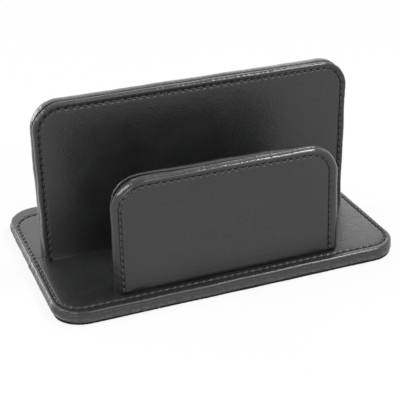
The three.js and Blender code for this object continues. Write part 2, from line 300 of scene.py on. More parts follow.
def bell(x, width):
    return np.exp(-(x / width) ** 2)


def ramp(x):
    # 0 below 0, 1 above 1, smooth between
    t = np.clip(x, 0, 1)
    return t * t * (3 - 2 * t)


def wavesAlong(distance, length, seed):
    # Waves that depend only on the distance along an outline, as one row of the grid
    return waves(distance, 0 * distance, length, seed)[None, :]


# Every cover is a doorway outline: up one leg from its foot, round a corner, across the top, round and down.
# Across, along the legs and out of the face are the three local axes of a cover.

coverAxes = {
    "front of panel": ((1, 0, 0), (0, 0, 1), (0, -1, 0)),
    "back of panel": ((-1, 0, 0), (0, 0, 1), (0, 1, 0)),
    "front of base": ((-1, 0, 0), (0, -1, 0), (0, 0, 1)),
    "rear of base": ((1, 0, 0), (0, 1, 0), (0, 0, 1)),
}


def doorway(left, right, top, radius, path):
    # Across: from the left corner's centre to the right one's by the share of the span, and out by the
    # cosine of the turn. Along: the share of the leg below the corner, plus the sine of the turn.
    across = ((left + radius) * (1 - path["span"]) + (right - radius) * path["span"]
              - path["side"] * radius * np.cos(path["turn"]))
    along = path["leg"] * (top - radius) + radius * np.sin(path["turn"])
    return across, along


def insetEdges(edges, inset):
    # Left, right, top and corner radius of an outline that lies inside another one; the radius is 1 or more
    left, right, top, radius = edges
    return left + inset, right - inset, top - inset, np.maximum(radius - inset, 1)


def doorwayPath(left, right, top, radius, step):
    # Stations about one step apart along a doorway outline, as shares of its legs, turns and span: the place
    # counts its five stretches, and the shares go from value to value over each of them
    legCount = max(2, round((top - radius) / step))
    turnCount = max(6, round(radius * np.pi / 2 / step))
    spanCount = max(2, round((right - left - 2 * radius) / step))
    counts = (legCount, turnCount, spanCount, turnCount, legCount)
    place = np.concatenate([k + np.arange(n) / n for k, n in enumerate(counts)] + [[5]])
    span = np.interp(place, range(6), (0, 0, 0, 1, 1, 1))
    return {"leg": np.interp(place, range(6), (0, 1, 1, 1, 1, 0)), "span": span,
            "turn": np.interp(place, range(6), (0, 0, 1, 1, 0, 0)) * np.pi / 2,
            "side": np.where(span < 0.5, 1, -1), "stage": place}


def distanceAlong(across, along):
    return np.concatenate([[0], np.cumsum(np.hypot(np.diff(across), np.diff(along)))])


def stitchPhase(distance, pitch):
    # Place within a stitch, from 0 at one needle hole to 1 at the next, with whole stitches on the row
    count = max(1, round(distance[-1] / pitch))
    return distance / distance[-1] * count


def shares(count):
    # A column of 1 / count, 2 / count and so on up to 1
    return np.arange(1, count + 1)[:, None] / count


stitchLook = {
    "step": 0.33,          # mm between stations along an outline
    "samples": 16,         # stations of the thread in a stitch
    "turnRadius": 10,      # mm, about a row's corner, for the count of its stations
    "threadWidth": 0.8,    # of the CAD strand, to find the row's middle from its box
    "radius": 0.38,        # of the thread
    "rise": -0.17,         # of the thread's middle line above the face, and how far it dives at a hole
    "dive": 1.1, "diveSharpness": 3,
    "slant": 0.25, "slantSharpness": 8,    # from the row's middle to a stitch's end, sideways
    "grooveDepth": 0.07, "grooveWidth": 0.9,
    "dimpleDepth": 0.5, "dimpleLength": 1.0, "dimpleWidth": 0.8,    # pulled down round a needle hole
    "holeDepth": 0.45, "holeLength": 0.4, "holeWidth": 0.33,
    "pucker": 0.04,        # height of the leatherette's ripple beside the stitches
    "puckerReach": 1.8,
    "grooveReach": 0.85,   # half width of the finely drawn strip along the row
}

# Sizes along an outline: one number, or places and the values there. The places count from the holder's left
# to its right: foot 0, end of the left leg 1, top from 2 to 3, right leg from 4, right foot 5.
# A cover rounds off over rimIn of its face and rimDown of its edge; facet makes that rounding flatter. The
# lip turns in by the first and over the second length, times gape but in by no more than lipMost, to a flange
# that ends lipEnd inside; square makes the lip's walls steep. Crown is how far the wall bulges and swell how
# far the whole rounded edge stands out; reach is how much deeper than the CAD solid the visible leatherette
# goes, and seam how far in front of a panel's middle the groove between its covers runs. The foot comes out
# by flare and its very edge goes back in by tuck times that. Rub and polish are wear, of the rim and of the
# wall with the lip. The stitch row's corners have rowRadius, and its right leg lies rowIn further in. The
# base's front has a crease of creaseDepth and a step of seamStep at the seam. On the base, scuff is the share
# of its wall's foot that is painted lighter, as a painted reflection, in specks that also stand for wear.
plainEdge = {"facet": 0, "swell": 0, "seam": 0, "tuck": 0, "polish": 0, "rowIn": 0,
             "creaseDepth": 0, "scuffAndSheen": 0, "seamStep": 0, "leans": False}
panelEdge = {
    **plainEdge, "wallRings": 14, "flare": 0.9, "rub": 1, "crown": 0.2, "reach": 0.29,
    "rimIn": ((1, 2, 3, 4), (1.0, 0.8, 0.8, 1.0)), "rimDown": ((1, 2, 3, 4), (0.9, 1.1, 1.1, 0.9)),
    "lip": (1.5, 0.95), "lipMost": 1.2, "lipEnd": 1.8,
    "square": ((0.5, 1, 1.5, 2, 3, 3.5, 4, 4.5), (0, 0.5, 0.9, 0.5, 0.5, 0.9, 0.5, 0)),
    "gape": ((0.4, 1, 1.5, 2, 3, 3.5, 4, 4.6), (0.24, 0.64, 1.1, 0.64, 0.64, 1.1, 0.64, 0.24))}
rearPanel = {
    **panelEdge, "radius": 14, "rowRadius": ((2, 3), (11, 10.5)), "pitch": 3.7,
    "seam": ((0, 1, 1.5, 2, 2.6, 3, 4), (0.2, 0.5, 1.6, 1.1, 0.5, 1.2, 0.4))}
frontPanel = {
    **panelEdge, "radius": 15, "rowRadius": ((2, 3), (12, 10.5)), "pitch": 3.6, "leans": True, "tuck": 1.2,
    "seam": ((0, 1, 1.5, 2, 2.4, 5), (-0.3, -0.5, -1.0, -0.9, 0.7, 0.9)),
    "gape": ((0.9, 1.5, 2, 2.4, 2.8), (0.19, 0.85, 0.6, 0.5, 0.03)),
    "square": ((1, 1.3, 2.4, 2.8), (0, 1, 0.8, 0)), "swell": ((1, 1.5), (1.2, 0.2)),
    "rub": ((1, 1.4), (0.1, 1)), "polish": ((1, 1.2, 1.8, 2.3), (0, 1, 1, 0))}
basePad = {
    **plainEdge, "row": "base_stitching", "radius": 16, "rowRadius": 12, "pitch": 3.7,
    "wallRings": 34, "flare": 0, "rub": ((1, 1.6, 3.4, 4), (0.1, 1, 1, 0.7)), "reach": -0.6,
    "rimIn": ((1, 2, 3, 4), (1.6, 1.0, 1.0, 1.6)), "rimDown": ((1, 2, 3, 4), (1.2, 0.9, 0.9, 1.2)),
    "lip": (0.6, 0.5), "lipMost": 1.1, "lipEnd": 12, "square": 0, "gape": 1,
    "crown": ((1, 2, 3, 4), (0.7, 0.08, 0.08, 0.2)), "creaseDepth": ((1, 2, 3, 4), (0, 0.5, 0.5, 0)),
    # Share of painted reflection, in specks that also stand for wear, at the foot of the base's wall
    "scuffAndSheen": 0.8}
covers = {
    "rear_panel_front_cover": {
        **rearPanel, "side": "front of panel", "row": "rear_panel_front_stitching", "seed": 3},
    "rear_panel_back_cover": {
        **rearPanel, "side": "back of panel", "row": "rear_panel_back_stitching", "seed": 5},
    "front_panel_front_cover": {
        **frontPanel, "side": "front of panel", "row": "front_panel_front_stitching", "seed": 7, "rowIn": 0.8,
        "rimIn": ((1, 1.5, 2, 3, 3.5, 4), (3.3, 2.4, 1.2, 1.1, 2.3, 2.9)),
        "rimDown": ((1, 1.5, 2, 3, 3.5, 4), (4.3, 4.3, 2.4, 2.6, 2.7, 2.5)),
        "crown": ((1, 1.8, 2, 3, 4), (0, 0, 0.3, 0.3, 0.1)),
        "facet": ((1, 1.4, 1.8, 2.2), (0, 0.45, 0.45, 0))},
    "front_panel_back_cover": {
        **frontPanel, "side": "back of panel", "row": "front_panel_back_stitching", "seed": 11,
        "rimIn": ((1, 1.5, 2, 2.6, 3, 4), (3.3, 1.2, 0.8, 1.4, 2.6, 1.6)),
        "rimDown": ((1, 1.5, 2, 2.6, 3, 4), (3.8, 1.0, 1.1, 1.6, 2.8, 1.6)),
        "crown": ((1, 1.5, 2), (0, 0.4, 0.2)), "swell": ((1, 1.5, 2), (1.2, 0.8, 0.2))},
    "base_front_cover": {**basePad, "side": "front of base", "seed": 13, "seamStep": 0.5},
    "base_rear_cover": {**basePad, "side": "rear of base", "seed": 17},
}

ringLook = {
    "inside": 20, "groove": 12, "border": 16, "lip": 6, "flange": 3,     # counts
    "foot": (0, 0.5, 1, 1.7, 2.8, 4.5),      # mm up, rings of the finely drawn foot
    "crowding": 4.3,                         # of the inside rings towards the stitch row
    "footLine": 0.47,                        # half its length, as a share of the row's width
    "under": (0.02, 0.3, 1),                 # of the hidden inner skin, as shares of the way to the foot line
}

# The leatherette with its backing, and how far in its hidden inner wall lies, in mm
coverSkin = {"thickness": 1.0, "wallIn": 1.02}

leastWall = 0.1            # mm of wall that is left between a rim and a lip

coverWobble = {
    "face": 0.035, "faceLength": 55, "faceFade": 4,     # gentle waves of the padded face, inside its rim
    "edge": 0.13, "edgeLength": 26,      # the board's edge under the leatherette
    "nick": 0.035, "nickLength": 4,
    "pucker": 0.025, "puckerLength": 1.5,
    "pull": 0.2, "pullReach": 3.2,       # the foam pressed down beside the stitches
    "pleat": 0.16, "pleatPitch": 3.4,    # gathers where the leatherette turns a corner
    "pleatMiddle": 0.6, "pleatShift": 0.8, "pleatShiftLength": 9,
}

# The crease along the base's front, mm down its wall: its width above and below, and how it wanders
creaseLook = {"down": 1.5, "width": (0.3, 1.0), "wander": 0.12, "wanderLength": 40}

seamFade = 7               # mm forwards over which the step of the base's front cover at the seam fades

# Rubbed bright: from how many rim widths inside the edge and over which share of the wall, and how it varies
rubLook = {"start": 1.2, "wall": 0.3, "level": 0.9, "change": 0.15, "changeLength": 18}

# Painted reflection: the base's wall is made lighter towards its foot, broken into specks that also stand for
# wear. Where it starts and over what share of the wall it fades in, its level and change, and for each kind
# of speck its stretch down the wall, length in mm and step of the seed
scuffAndSheenLook = {"start": 0.3, "fade": 0.6, "level": 0.7, "change": 0.35, "specks": ((6, 5, 8), (4, 1.7, 9))}

# A panel's flared foot comes in over fade mm of its height and ends depth mm behind the face. Its very edge
# turns back in over tuckReach mm.
footLook = {"fade": 3, "depth": 3, "tuckReach": 0.7}

# The low panel is a little out of true: its right edge leans in and its top edge drops to the right
panelLean = {"foot": 0.7, "top": -1.0, "drop": 0.5, "low": 7.4, "height": 57.5, "reach": 56}


def leaned(points):
    # To the right of the middle, x grows by a share of foot at the foot and of top at the top, and z
    # sinks by a share of drop; the share is the square of the way to the right edge
    share = np.clip(points[..., 0] / panelLean["reach"], 0, 1) ** 2
    up = (points[..., 2] - panelLean["low"]) / panelLean["height"]
    right = panelLean["foot"] * (1 - up) + panelLean["top"] * up
    return points + share[..., None] * np.stack([right, 0 * up, -panelLean["drop"] * up], -1)


def pieceFrame(node, settings):
    # A node's own axes and its box in local mm, from the middle of its foot line in the plane of its face
    axes = np.array(coverAxes[settings["side"]], float)
    low, high = nodeBox(node, axes)
    middle = (low[0] + high[0]) / 2
    return {
        "axes": axes, "origin": np.array([middle, low[1], high[2]]), "depth": high[2] - low[2],
        "edges": [low[0] - middle, high[0] - middle, high[1] - low[1], settings["radius"]],
        "leans": settings["leans"], "flare": settings["flare"], "tuck": settings["tuck"],
    }


def rowFrame(shape, settings):
    # Left, right and top of the middle of a cover's stitch row, in local mm
    low, high = nodeBox(settings["row"], shape["axes"])
    middle, foot = shape["origin"][:2]
    half = stitchLook["threadWidth"] / 2
    return [low[0] + half - middle, high[0] - half - middle - settings["rowIn"], high[1] - half - foot]


def toWorld(shape, across, along, out):
    # Local mm to the frame's axes; the face comes out by flare at the foot, which fades by e every fade mm,
    # and its very edge turns back in
    flare = np.exp(-along / footLook["fade"]) - shape["tuck"] * bell(along, footLook["tuckReach"])
    out = out + shape["flare"] * flare * ramp(1 + out / footLook["depth"])
    points = (np.stack([across, along, out], -1) + shape["origin"]) @ shape["axes"]
    return leaned(points) if shape["leans"] else points


def faceHeight(offRow, phase, pitch):
    # Out of the face near the stitches: a shallow groove, at each whole phase a dimple with a needle hole
    # in it, and ripples beside them
    fromHole = (phase - np.round(phase)) * pitch
    look = stitchLook
    groove = look["grooveDepth"] * bell(offRow, look["grooveWidth"])
    dimple = look["dimpleDepth"] * bell(fromHole, look["dimpleLength"]) * bell(offRow, look["dimpleWidth"])
    hole = look["holeDepth"] * bell(fromHole, look["holeLength"]) * bell(offRow, look["holeWidth"])
    ripple = look["pucker"] * np.cos(2 * np.pi * phase) * np.exp(-np.abs(offRow) / look["puckerReach"])
    return ripple - groove - dimple - hole


def fromHolderLeft(shape, path):
    # The places of an outline's stations, counted from the holder's left on either side of a panel
    return path["stage"] if shape["axes"][0][0] > 0 else 5 - path["stage"]


def sizeAt(way, size):
    # A number as it is, or the values at their places with a smooth step from each to the next
    if not isinstance(size, tuple):
        return size + 0 * way
    places, values = np.array(size, float)
    after = np.clip(np.searchsorted(places, way), 1, len(places) - 1)
    share = ramp((way - places[after - 1]) / (places[after] - places[after - 1]))
    return values[after - 1] + (values[after] - values[after - 1]) * share


def makeCover(node, settings):
    # The grid's columns are the stations of the outline and its rows are rings: out over the face, down the
    # wall, in under it and back along the hidden inner skin
    shape = pieceFrame(node, settings)
    edges, rings, wobble, seed = shape["edges"], ringLook, coverWobble, settings["seed"]
    path = doorwayPath(*edges, stitchLook["step"])
    way = fromHolderLeft(shape, path)[None, :]
    rowEdges = rowFrame(shape, settings) + [sizeAt(way[0], settings["rowRadius"])]
    reach = stitchLook["grooveReach"]
    distance = distanceAlong(*doorway(*rowEdges, path))
    phase = stitchPhase(distance, settings["pitch"])[None, :]
    rimIn, rimDown, gape, square, swell, seam = (
        sizeAt(way, settings[key]) for key in ("rimIn", "rimDown", "gape", "square", "swell", "seam"))
    depth = shape["depth"] + settings["reach"] + seam * (-1 if settings["side"] == "front of panel" else 1)
    lipIn, lipDown = (length * gape for length in settings["lip"])
    lipIn = np.minimum(lipIn, settings["lipMost"] + swell)
    rimDown = np.minimum(rimDown, depth - lipDown - leastWall)

    # Rings inside the row run from the foot line to the row and are closest together at the row
    crowd, count = rings["crowding"], rings["inside"]
    share = (np.exp(crowd * np.arange(count - 1, 0, -1) / count) - 1) / (math.exp(crowd) - 1)
    share = np.concatenate([1 - np.array(rings["foot"]) / edges[2], share])[:, None]
    underShare = np.array(rings["under"])[:, None]
    inner = doorway(*insetEdges(rowEdges, reach), path)
    footLine = np.linspace(-1, 1, len(distance)) * (rowEdges[1] - rowEdges[0]) * rings["footLine"]
    footLine = footLine + (rowEdges[0] + rowEdges[1]) / 2
    inAcross, underAcross = (inner[0] * (1 - s) + footLine * s for s in (share, underShare))
    inAlong, underAlong = (inner[1] * (1 - s) for s in (share, underShare))
    inOff = -reach - np.hypot(inAcross - inner[0], inAlong - inner[1])

    # Rings across the stitch groove keep the row's own shape
    off = np.linspace(-reach, reach, rings["groove"])[:, None]
    grooveAcross, grooveAlong = doorway(*insetEdges(rowEdges, -off), path)

    # Rings of the border blend from the groove's outer side to the edge, spaced as a quarter circle is
    keep = 1 - np.sin(shares(rings["border"]) * np.pi / 2)
    outerRow = insetEdges(rowEdges, -reach)
    borderAcross, borderAlong = doorway(*[e + (o - e) * keep for e, o in zip(edges, outerRow)], path)
    edgePoints = doorway(*edges, path)
    margin = np.hypot(grooveAcross[-1] - edgePoints[0], grooveAlong[-1] - edgePoints[1])[None, :]

    # Rings of the wall go straight down. Those of the lip turn in by the 1.5th power of the way down or,
    # where they are square, by the roots of a sine and a cosine. Those of the flange go inwards.
    down, bend = shares(settings["wallRings"]), shares(rings["lip"])
    wallOut = -rimDown - (depth - rimDown - lipDown) * down
    lipInset = lipIn * (bend ** 1.5 * (1 - square) + np.sin(bend * np.pi / 2) ** 0.5 * square)
    lipShare = bend * (1 - square) + (1 - np.maximum(np.cos(bend * np.pi / 2), 0) ** 0.5) * square
    lipOut = lipDown - depth - lipDown * lipShare
    flangeIn = lipIn + (settings["lipEnd"] - lipIn) * shares(rings["flange"])

    # The hidden inner skin lies one thickness under the face, the wall and the flange
    one, thickness = np.ones_like(phase), coverSkin["thickness"]
    backIn = np.array([settings["lipEnd"], coverSkin["wallIn"], coverSkin["wallIn"]])[:, None] * one
    insets = np.concatenate([0 * wallOut, lipInset, flangeIn, backIn])
    sideAcross, sideAlong = doorway(*insetEdges(edges, insets), path)
    across = np.concatenate([inAcross, grooveAcross, borderAcross, sideAcross, underAcross])
    along = np.concatenate([inAlong, grooveAlong, borderAlong, sideAlong, underAlong])

    # Heights: the face, with its rim rounded as a quarter of an ellipse, then the sides and the inner skin
    offEdge = np.concatenate([margin + reach - inOff, margin + reach - off, margin * keep])
    offRow = np.concatenate([inOff, off * one, reach + margin * (1 - keep)])
    faceRows = len(offRow)
    clear = 1 - np.minimum(offEdge / rimIn, 1)
    power = 2 - sizeAt(way, settings["facet"])
    face = rimDown * (np.maximum(1 - clear ** power, 0) ** (1 / power) - 1)
    face = face + faceHeight(offRow, phase, settings["pitch"])
    face = face - wobble["pull"] * np.exp(-np.abs(offRow) / wobble["pullReach"])
    slow = waves(across[:faceRows], along[:faceRows], wobble["faceLength"], seed)
    face = face + wobble["face"] * slow * ramp((offEdge - rimIn) / wobble["faceFade"])
    out = np.concatenate([face, wallOut, lipOut, 0 * flangeIn - depth, thickness - depth, thickness - depth,
                          -thickness * one, 0 * underAcross - thickness])

    # The edge is not quite straight: slow waves and small nicks push rim, wall and lip in and out
    border = slice(faceRows - rings["border"], faceRows)
    wall = slice(faceRows, faceRows + settings["wallRings"])
    weight = np.zeros_like(across)
    weight[border] = (1 - keep) ** 2
    weight[wall.start:wall.stop + rings["lip"] + rings["flange"]] = 1
    edgeWave, nicks, puckers = (
        wobble[kind] * wavesAlong(distance, wobble[kind + "Length"], seed + step)
        for kind, step in (("edge", 1), ("nick", 2), ("pucker", 6)))
    push = (edgeWave + (nicks + puckers) + swell) * weight

    # Gathers at the corners, the wall's bulge, the step at the base's seam and the crease along its front
    corner = np.sin(2 * path["turn"])[None, :] ** 2 * (path["turn"] > 0)[None, :]
    shift = wobble["pleatShift"] * wavesAlong(distance, wobble["pleatShiftLength"], seed)
    gathers = np.abs(np.sin(np.pi * distance / wobble["pleatPitch"] + shift)) - wobble["pleatMiddle"]
    push[:wall.stop] += wobble["pleat"] * corner * gathers * weight[:wall.stop]
    push[wall] += sizeAt(way, settings["crown"]) * (1 - (2 * down - 1) ** 2)
    push = push + settings["seamStep"] * np.exp((distance - distance[-1])[None, :] / seamFade) * weight
    wander = creaseLook["wander"] * wavesAlong(distance, creaseLook["wanderLength"], seed)
    fromCrease = -wallOut - creaseLook["down"] - wander
    width = np.where(fromCrease < 0, *creaseLook["width"])
    push[wall] -= sizeAt(way, settings["creaseDepth"]) * bell(fromCrease, width)
    across = across - path["side"][None, :] * np.cos(path["turn"])[None, :] * push
    along = along + np.sin(path["turn"])[None, :] * push * path["leg"][None, :]

    # Wear rubs the rim bright, more in some stretches than in others
    rub = np.zeros_like(across)
    rub[border] = ramp(rubLook["start"] - margin * keep / rimIn)
    rub[wall] = bell(down, rubLook["wall"])
    change = rubLook["change"] * wavesAlong(distance, rubLook["changeLength"], seed + 4)
    rub = rub * sizeAt(way, settings["rub"]) * (rubLook["level"] + change)
    rub[wall.start:] = np.maximum(rub[wall.start:], sizeAt(way, settings["polish"]))

    # The base's wall is painted lighter towards its foot, a painted reflection, in specks that also stand for
    # scuffs from being set down and wiped
    scuffAndSheen = np.zeros_like(across)
    specks = sum(waves(distance[None, :], tall * down, length, seed + step)
                 for tall, length, step in scuffAndSheenLook["specks"])
    low = settings["scuffAndSheen"] * ramp((down - scuffAndSheenLook["start"]) / scuffAndSheenLook["fade"])
    scuffAndSheen[wall] = low * (scuffAndSheenLook["level"] + scuffAndSheenLook["change"] * specks)

    name = node.replace("_cover", "_leatherette")
    wear = {"wear": np.clip(rub, 0, 1), "scuffAndSheen": np.clip(scuffAndSheen, 0, 1)}
    points = toWorld(shape, across, along, out)
    return makePiece(name, points, "leatherette", node, aroundRows=True, attributes=wear), shape


shapes = {}
for node, settings in covers.items():
    piece, shapes[node] = makeCover(node, settings)
    print("cover made:", piece.name, len(piece.data.polygons), "faces")


# Stitches: one strand of three plies along each row, which dives into the needle holes

def stitchCentre(node):
    # The strand's middle line in mm, slanted from hole to hole, and the sideways direction
    settings, shape, look = covers[node], shapes[node], stitchLook
    row = rowFrame(shape, settings)
    path = doorwayPath(*row, look["turnRadius"], settings["pitch"] / look["samples"])
    across, along = doorway(*row, sizeAt(fromHolderLeft(shape, path), settings["rowRadius"]), path)
    phase = stitchPhase(distanceAlong(across, along), settings["pitch"])
    swing = 2 * (phase - np.floor(phase)) - 1
    sideways = -look["slant"] * swing * (1 - np.abs(swing) ** look["slantSharpness"])
    height = look["rise"] - look["dive"] * np.abs(swing) ** look["diveSharpness"]
    outAcross = -path["side"] * np.cos(path["turn"])
    outAlong = np.sin(path["turn"]) * path["leg"]
    centre = toWorld(shape, across + outAcross * sideways, along + outAlong * sideways, height)
    outward = np.stack([outAcross, outAlong, 0 * outAcross], -1) @ shape["axes"]
    return centre, outward


strandLook = {"sides": 10, "plies": 3, "plyDepth": 0.13, "twist": 1.3}


def makeStrand(name, node, coverNodes, closed):
    # A section carried along the centre line: its radius swells at each ply, and at one place of the section
    # the next ply comes round after each twist of length
    parts = [stitchCentre(n) for n in coverNodes]
    if closed:
        parts = [(centre[:-1], outward[:-1]) for centre, outward in parts]
    centre, outward = (np.concatenate(rows) for rows in zip(*parts))
    if closed:
        ahead, behind = np.roll(centre, -1, 0), np.roll(centre, 1, 0)
    else:
        ahead = np.concatenate([centre[1:], centre[-1:]])
        behind = np.concatenate([centre[:1], centre[:-1]])
    tangent = ahead - behind
    tangent /= np.linalg.norm(tangent, axis=1)[:, None]
    up = np.cross(tangent, outward)
    up /= np.linalg.norm(up, axis=1)[:, None]
    across = np.cross(up, tangent)
    length = np.concatenate([[0], np.cumsum(np.linalg.norm(np.diff(centre, axis=0), axis=1))])[:, None]
    look = strandLook
    angle = np.arange(look["sides"])[None, :] * 2 * np.pi / look["sides"]
    turned = angle - 2 * np.pi * length / look["twist"] / look["plies"]
    radius = stitchLook["radius"] * (1 + look["plyDepth"] * np.cos(look["plies"] * turned))
    ring = np.cos(angle)[..., None] * across[:, None, :] + np.sin(angle)[..., None] * up[:, None, :]
    points = centre[:, None, :] + radius[..., None] * ring
    return makePiece(name, points, "thread", node, aroundRows=closed, aroundColumns=True)


strands = {face: [face + "_cover"] for face in (
    "rear_panel_front", "rear_panel_back", "front_panel_front", "front_panel_back")}
strands["base"] = ["base_front_cover", "base_rear_cover"]
for part, coverNodes in strands.items():
    piece = makeStrand(part + "_thread", part + "_stitching", coverNodes, closed=len(coverNodes) > 1)
    print("thread made:", piece.name, len(piece.data.polygons), "faces")


# Sheets that lie flat: the felt under the base and the foam under its leatherette

def roundedLoop(halfWidth, halfDepth, radius, step):
    # A closed rounded rectangle: at each station the side of the corner's centre in x and y, from -1 to 1,
    # and the outward direction, so that a point is side times (half size - radius) + radius times outward.
    # The place counts its eight stretches, and the values go from one to the next over each of them.
    turnCount = max(6, round(radius * np.pi / 2 / step))
    wideCount = max(2, round(2 * (halfWidth - radius) / step))
    deepCount = max(2, round(2 * (halfDepth - radius) / step))
    counts = (turnCount, wideCount, turnCount, deepCount) * 2
    place = np.concatenate([k + np.arange(n) / n for k, n in enumerate(counts)])
    angle = np.interp(place, range(9), (0, 1, 1, 2, 2, 3, 3, 4, 4)) * np.pi / 2
    sideX = np.interp(place, range(9), (1, 1, -1, -1, -1, -1, 1, 1, 1))
    sideY = np.interp(place, range(9), (1, 1, 1, 1, -1, -1, -1, -1, 1))
    return sideX, sideY, np.cos(angle), np.sin(angle)


# Rings are pairs of how far in from the edge and how high they lie, in mm. The edge wavers by fray and creep,
# each with its length; grow is how far the sheet comes past its CAD solid, which lets the felt's dark edge
# show under the base, where that edge stands partly for the felt and partly for painted shade.
liningSheet = {
    "node": "base_lining", "slot": "lining", "radius": 14.7, "step": 0.6, "seed": 41,
    "grow": 0.7,           # the felt's dark edge shows under the base, partly as painted shade there
    "fray": 0.06, "frayLength": 2.3, "creep": 0.12, "creepLength": 30,
    "rings": ((16, 0), (3, 0), (0.6, 0), (0.15, 0.12), (0, 0.4), (0.15, 0.72), (0.5, 0.8),
              (11.4, 0.8), (11.8, 1.8), (16, 1.8))}
paddingSheet = {
    "node": "base_padding", "slot": "foam", "radius": 14.7, "step": 1.2, "seed": 43,
    "grow": 0, "fray": 0.08, "frayLength": 5, "creep": 0, "creepLength": 30,
    "rings": ((8, 0), (0.25, 0), (0, 0.15), (0, 0.45), (0.25, 0.6), (8, 0.6))}
sheetRim = 1               # mm in: up to there a sheet's rings waver, and past it a panel foam's rings swell


def makeSheet(name, settings):
    # Rings of the rounded rectangle, with a corner radius that shrinks inwards but not below half a mm
    low, high = nodeBox(settings["node"])
    half = (high - low)[:2] / 2 + settings["grow"]
    middle = (high + low)[:2] / 2
    sideX, sideY, outX, outY = roundedLoop(half[0], half[1], settings["radius"], settings["step"])
    inset, height = (np.array(column)[:, None] for column in zip(*settings["rings"]))
    corner = np.maximum(settings["radius"] - inset, 0.5)
    x = sideX * (half[0] - inset - corner) + corner * outX
    y = sideY * (half[1] - inset - corner) + corner * outY
    fray = settings["fray"] * waves(x, y, settings["frayLength"], settings["seed"])
    creep = settings["creep"] * waves(x, y, settings["creepLength"], settings["seed"] + 1)
    push = (fray + creep) * (inset < sheetRim)
    points = np.stack([x + outX * push + middle[0], y + outY * push + middle[1], low[2] + height + 0 * x], -1)
    return makePiece(name, points, settings["slot"], settings["node"], aroundColumns=True)


# The foam on both faces of a panel's board, with gentle waves inside its rim
panelFoam = {
    "step": 1.2, "rings": ((6, 0), (0.25, 0), (0, -0.15), (0, -0.45), (0.25, -0.6), (6, -0.6)),
    "swell": 0.05, "swellLength": 20,
    "footLine": 0.9,       # its length as a share of the foam's width
}
trueFoam = {"radius": 13, "leans": False, "flare": 0, "tuck": 0}
leaningFoam = {**trueFoam, "radius": 14, "leans": True}
foams = {
    "rear_panel_front_padding": {**trueFoam, "side": "front of panel", "seed": 51},
    "rear_panel_back_padding": {**trueFoam, "side": "back of panel", "seed": 53},
    "front_panel_front_padding": {**leaningFoam, "side": "front of panel", "seed": 55},
    "front_panel_back_padding": {**leaningFoam, "side": "back of panel", "seed": 57},
}


def makeFoam(node, settings):
    # Doorway rings, each set in from the edge and raised as its pair says, between two lines along the foot
    shape = pieceFrame(node, settings)
    path = doorwayPath(*shape["edges"], panelFoam["step"])
    inset, out = (np.array(column)[:, None] for column in zip(*panelFoam["rings"]))
    across, along = doorway(*insetEdges(shape["edges"], inset), path)
    swell = panelFoam["swell"] * waves(across, along, panelFoam["swellLength"], settings["seed"])
    out = out + swell * (inset > sheetRim)
    foot = np.linspace(-1, 1, across.shape[1])[None, :] * shape["edges"][1] * panelFoam["footLine"]
    lowest, highest = np.array(panelFoam["rings"])[[-1, 0], 1]
    across = np.concatenate([foot, across, foot])
    along = np.concatenate([0 * foot, along, 0 * foot])
    out = np.concatenate([highest + 0 * foot, out, lowest + 0 * foot])
    name = node.replace("_padding", "_foam")
    return makePiece(name, toWorld(shape, across, along, out), "foam", node, aroundRows=True)


print("lining made:", makeSheet("base_felt", liningSheet).name)
print("foam made:", makeSheet("base_foam", paddingSheet).name)
for node, settings in foams.items():
    print("foam made:", makeFoam(node, settings).name)


# Wood screws: a countersunk head with a cross recess, a smooth neck, a helical thread and a point

screwLook = {
    "columns": 48, "headRadius": 3.2, "rim": 0.12, "headDepth": 2, "shank": 1.2, "thread": 1.75,
    "pitch": 2.2, "length": 25, "neck": 4.5, "tip": 4, "rowStep": 0.16,      # mm
    "armLength": 1.6, "armWidth": 0.42, "recess": 1.2, "recessEdge": 0.16,
    "faceRings": 26, "faceMiddle": 0.04,     # radius of the innermost ring
    "coneRings": 8, "coneStart": 0.5,        # mm up
    "ridgeSharpness": 3,                     # a pitch over half the width of the thread's ridge
    "tipTaper": 0.8, "tipLeast": 0.02,       # power of the way to the point, and where that way ends
}


def makeScrew(node):
    # Head face: rings whose height is the recess depth where they cross one of its two arms. Shank: radius is
    # the core plus a ridge that peaks once a pitch, turned by the angle, and shrinks to nothing at the point.
    look = screwLook
    low, high = nodeBox(node)
    angle = np.arange(look["columns"])[None, :] * 2 * np.pi / look["columns"]
    faceRadius = np.linspace(look["faceMiddle"], look["headRadius"] - look["rim"], look["faceRings"])
    faceRadius = faceRadius[:, None] + 0 * angle
    nearArm = np.minimum(np.abs(np.sin(angle)), np.abs(np.cos(angle))) * faceRadius
    recess = ramp((look["armWidth"] - nearArm) / look["recessEdge"] + 0.5) \
        * ramp((look["armLength"] - faceRadius) / look["recessEdge"] + 0.5)
    coneLevels = np.linspace(look["coneStart"], look["headDepth"], look["coneRings"])
    shankLevels = np.arange(look["headDepth"] + look["rowStep"], look["length"], look["rowStep"])
    level = np.concatenate([[look["rim"]], coneLevels, shankLevels, [look["length"]]])[:, None]
    cone = look["headRadius"] + (look["shank"] - look["headRadius"]) * (level - look["rim"]) \
        / (look["headDepth"] - look["rim"])
    turns = (level - look["neck"]) / look["pitch"] - angle / (2 * np.pi)
    ridge = np.clip(1 - look["ridgeSharpness"] * np.abs(turns - np.round(turns)), 0, 1) \
        * ramp((level - look["neck"]) / look["pitch"])
    point = np.clip((look["length"] - level) / look["tip"], look["tipLeast"], 1)
    shank = (look["shank"] + (look["thread"] - look["shank"]) * ridge) * point ** look["tipTaper"]
    radius = np.concatenate([faceRadius, np.where(level < look["headDepth"], cone, shank)])
    height = np.concatenate([look["recess"] * recess, level + 0 * angle])
    middle = (low + high) / 2
    points = np.stack([radius * np.cos(angle) + middle[0], radius * np.sin(angle) + middle[1],
                       low[2] + height], -1)
    return makePiece(node.replace("_screw", "_wood_screw"), points, "zinc", node, aroundColumns=True)


for node in [n for n in frame["nodes"] if n.endswith("_screw")]:
    print("screw made:", makeScrew(node).name)


